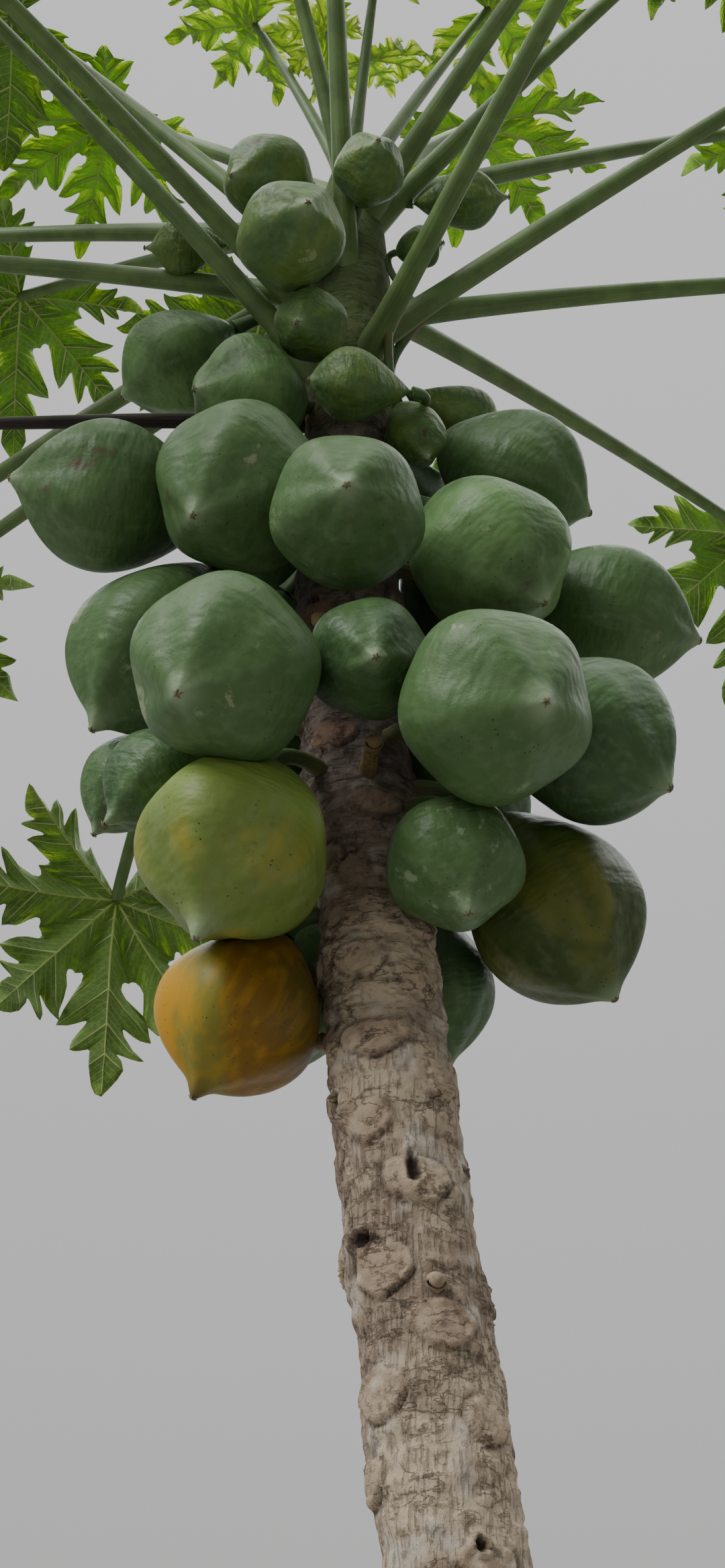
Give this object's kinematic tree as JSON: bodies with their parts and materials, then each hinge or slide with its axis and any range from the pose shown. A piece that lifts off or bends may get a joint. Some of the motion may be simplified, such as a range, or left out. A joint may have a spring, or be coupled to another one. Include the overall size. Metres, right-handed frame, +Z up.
{
  "type": "papaya tree",
  "caption": "Whole papaya tree in fruit: one leaning stem with leaf scars, a dense cluster of green and ripening fruit, and a crown of long-stalked lobed leaves.",
  "frame": {"origin": "centre of the flat cut where the stem meets the ground", "axes": "+Z up along the height of the tree, -Y the side that the picture shows, the stem leans to -X"},
  "size_m": [2.1465, 1.9404, 4.2228],
  "materials": {
    "bark": "grey-brown papaya bark with raised leaf scars, dull",
    "leaf": "matt green leaf with paler ribs and stalk",
    "green_fruit": "waxy dark green skin with a thin bloom",
    "turning_fruit": "waxy skin turning from green to yellow",
    "ripe_fruit": "waxy orange skin with green left at the ridges",
    "dead_stalk": "dry, dark purple-brown, wrinkled"
  },
  "bodies": {
    "root": {"dead_leaf_stalk": "dead_stalk", "fruit_back": "green_fruit", "fruit_back_left": "green_fruit", "fruit_back_right": "green_fruit", "fruit_far_left": "green_fruit", "fruit_far_right": "green_fruit", "fruit_front": "green_fruit", "fruit_high_back": "green_fruit", "fruit_high_back_left": "green_fruit", "fruit_high_left": "green_fruit", "fruit_high_left_front": "green_fruit", "fruit_high_right": "green_fruit", "fruit_left": "green_fruit", "fruit_left_front": "green_fruit", "fruit_low_back": "green_fruit", "fruit_low_back_left": "green_fruit", "fruit_low_back_right": "green_fruit", "fruit_low_front": "green_fruit", "fruit_mid_back": "green_fruit", "fruit_mid_back_left": "green_fruit", "fruit_mid_back_right": "green_fruit", "fruit_mid_front": "green_fruit", "fruit_mid_left_front": "green_fruit", "fruit_mid_right": "green_fruit", "fruit_mid_right_front": "green_fruit", "fruit_right": "green_fruit", "fruit_ripe": "ripe_fruit", "fruit_small_far_left": "green_fruit", "fruit_small_left": "green_fruit", "fruit_turning_left": "turning_fruit", "fruit_turning_right": "turning_fruit", "leaf_01": "leaf", "leaf_02": "leaf", "leaf_03": "leaf", "leaf_04": "leaf", "leaf_05": "leaf", "leaf_06": "leaf", "leaf_07": "leaf", "leaf_08": "leaf", "leaf_09": "leaf", "leaf_10": "leaf", "leaf_11": "leaf", "leaf_12": "leaf", "leaf_13": "leaf", "leaf_14": "leaf", "leaf_15": "leaf", "leaf_16": "leaf", "leaf_17": "leaf", "leaf_18": "leaf", "leaf_19": "leaf", "leaf_20": "leaf", "leaf_21": "leaf", "leaf_22": "leaf", "leaf_23": "leaf", "leaf_24": "leaf", "leaf_25": "leaf", "leaf_26": "leaf", "leaf_27": "leaf", "stem": "bark"}
  },
  "joints": []
}
